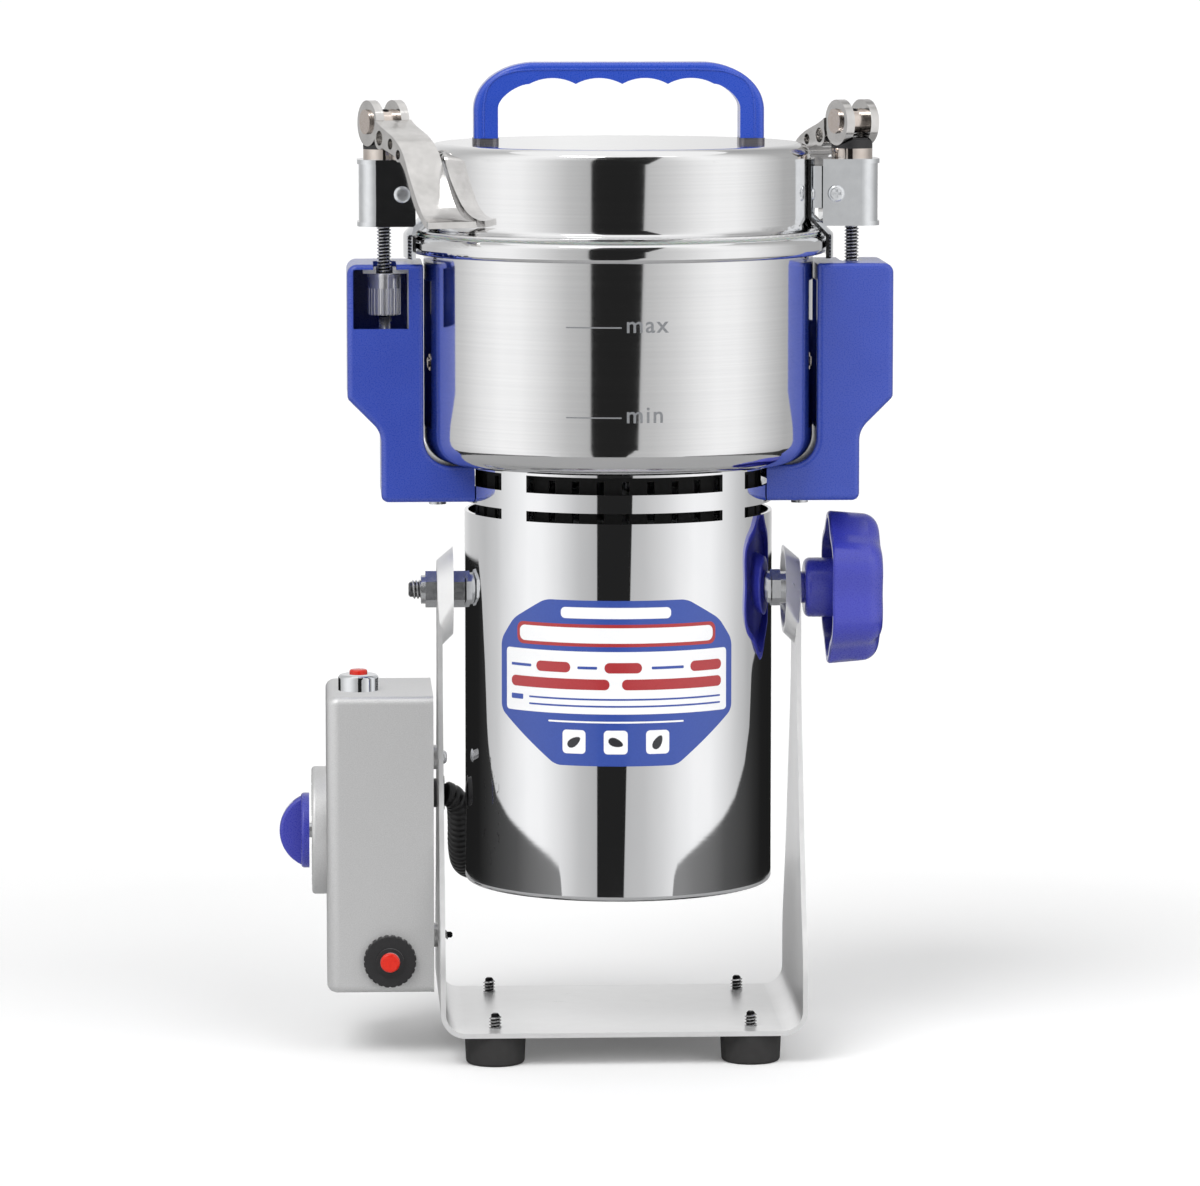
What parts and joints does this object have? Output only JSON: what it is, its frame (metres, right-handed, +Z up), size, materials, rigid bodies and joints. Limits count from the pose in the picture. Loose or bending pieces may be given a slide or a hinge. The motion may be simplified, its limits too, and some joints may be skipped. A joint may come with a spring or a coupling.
{
  "type": "electric grain mill",
  "caption": "Swing-type electric grain mill: latched steel bowl on a motor that tilts in a U-shaped stand, with timer box, star knob and carrying handle.",
  "frame": {"origin": "on the bench under the motor's axis, midway between the four feet", "axes": "+Z up, +X to the star knob, -Y to the front, -X to the timer"},
  "size_m": [0.2498, 0.1706, 0.404],
  "materials": {
    "mirror_steel": "mirror polished stainless steel",
    "satin_steel": "satin stainless steel",
    "plated_steel": "zinc plated steel",
    "chrome_plate": "chrome plated",
    "silver_paint": "fine silver powder coat",
    "blue_plastic": "royal blue moulded plastic",
    "black_plastic": "black moulded plastic",
    "red_plastic": "red moulded plastic",
    "black_rubber": "moulded rubber",
    "silicone": "soft silicone",
    "cast_aluminium": "tumbled casting",
    "iron_core": "varnished laminations",
    "copper": "enamelled copper wire"
  },
  "bodies": {
    "stand": {"stand_yoke": "mirror_steel", "rubber_feet": "black_rubber", "foot_screws": "plated_steel", "control_box_shell": "silver_paint", "control_box_back_plate": "silver_paint", "box_screws": "black_plastic", "timer_dial_plate": "silver_paint", "timer_body": "black_plastic", "power_button_bezel": "chrome_plate", "switch_bodies": "black_plastic", "reset_ring_nut": "black_plastic", "cable_glands": "black_plastic", "motor_conduit": "black_plastic"},
    "timer_dial": {"timer_knob": "blue_plastic", "timer_shaft": "plated_steel"},
    "power_push": {"power_button": "red_plastic"},
    "reset_push": {"reset_button": "red_plastic"},
    "head": {"conduit_motor_gland": "black_plastic", "motor_housing": "mirror_steel", "vent_baffle": "black_plastic", "motor_bottom_cover": "plated_steel", "lower_motor_bracket": "cast_aluminium", "upper_motor_bracket": "cast_aluminium", "motor_bearings": "plated_steel", "stator_core": "iron_core", "field_coils": "copper", "carbon_brushes": "black_plastic", "bowl_base_plate": "plated_steel", "grinding_bowl": "satin_steel", "shaft_seal": "black_rubber", "lid_shell": "satin_steel", "lid_gasket": "silicone", "handle_ferrules": "plated_steel", "lid_handle": "blue_plastic", "right_side_cover": "blue_plastic", "left_side_cover": "blue_plastic", "steel_arms": "plated_steel", "head_screws": "plated_steel", "latch_rods": "plated_steel", "latch_pins": "plated_steel", "pivot_nuts": "plated_steel", "pivot_stud": "plated_steel"},
    "rotor": {"armature": "iron_core", "motor_shaft": "plated_steel", "cooling_fan": "black_plastic", "lower_blade": "satin_steel", "upper_blade": "satin_steel", "blade_nut_and_spacers": "plated_steel"},
    "tilt_lock": {"star_knob": "blue_plastic", "star_knob_stud": "plated_steel"},
    "right_cam": {"right_lever": "cast_aluminium"},
    "left_cam": {"left_lever": "cast_aluminium"},
    "right_clamp": {"right_latch_box": "chrome_plate", "right_saddle_plate": "chrome_plate", "right_cam_saddle": "black_plastic"},
    "left_clamp": {"left_latch_box": "chrome_plate", "left_saddle_plate": "chrome_plate", "left_cam_saddle": "black_plastic"},
    "right_adjuster": {"right_knurled_nut": "chrome_plate"},
    "left_adjuster": {"left_knurled_nut": "chrome_plate"}
  },
  "joints": [
    {"name": "head_tilt", "type": "hinge", "parent": "stand", "child": "head", "pos_m": [0, 0, 0.189], "axis": [1, 0, 0], "range_deg": [-30, 100], "deforming": ["motor_conduit"]},
    {"name": "rotor_spin", "type": "hinge", "parent": "head", "child": "rotor", "pos_m": [0, 0, 0.189], "axis": [0, 0, 1], "continuous": true},
    {"name": "tilt_lock_turn", "type": "hinge", "parent": "head", "child": "tilt_lock", "pos_m": [0.09, 0, 0.189], "axis": [1, 0, 0], "continuous": true},
    {"name": "timer_turn", "type": "hinge", "parent": "stand", "child": "timer_dial", "pos_m": [-0.13, 0, 0.0897], "axis": [1, 0, 0], "range_deg": [0, 300]},
    {"name": "power_press", "type": "slide", "parent": "stand", "child": "power_push", "axis": [0, 0, -1], "range_m": [0, 0.0015], "stiffness_N_per_m": 600, "springref_m": -0.001},
    {"name": "reset_press", "type": "slide", "parent": "stand", "child": "reset_push", "axis": [0, 1, 0], "range_m": [0, 0.0015], "stiffness_N_per_m": 600, "springref_m": -0.001},
    {"name": "right_lever_open", "type": "hinge", "parent": "head", "child": "right_cam", "pos_m": [0.0953, 0, 0.38], "axis": [0.9135, 0.4067, 0], "range_deg": [0, 150]},
    {"name": "right_clamp_lift", "type": "slide", "parent": "head", "child": "right_clamp", "axis": [0, 0, 1], "range_m": [0, 0.001]},
    {"name": "right_adjuster_turn", "type": "hinge", "parent": "head", "child": "right_adjuster", "pos_m": [0.0953, 0, 0.31], "axis": [0, 0, 1], "continuous": true},
    {"name": "left_lever_open", "type": "hinge", "parent": "head", "child": "left_cam", "pos_m": [-0.0953, 0, 0.38], "axis": [-0.9135, -0.4067, 0], "range_deg": [0, 150]},
    {"name": "left_clamp_lift", "type": "slide", "parent": "head", "child": "left_clamp", "axis": [0, 0, 1], "range_m": [0, 0.001]},
    {"name": "left_adjuster_turn", "type": "hinge", "parent": "head", "child": "left_adjuster", "pos_m": [-0.0953, 0, 0.31], "axis": [0, 0, 1], "continuous": true}
  ],
  "couplings": [
    {"joint": "right_clamp_lift", "follows": "right_lever_open", "m_per_rad": 0.00038},
    {"joint": "left_clamp_lift", "follows": "left_lever_open", "m_per_rad": 0.00038}
  ]
}
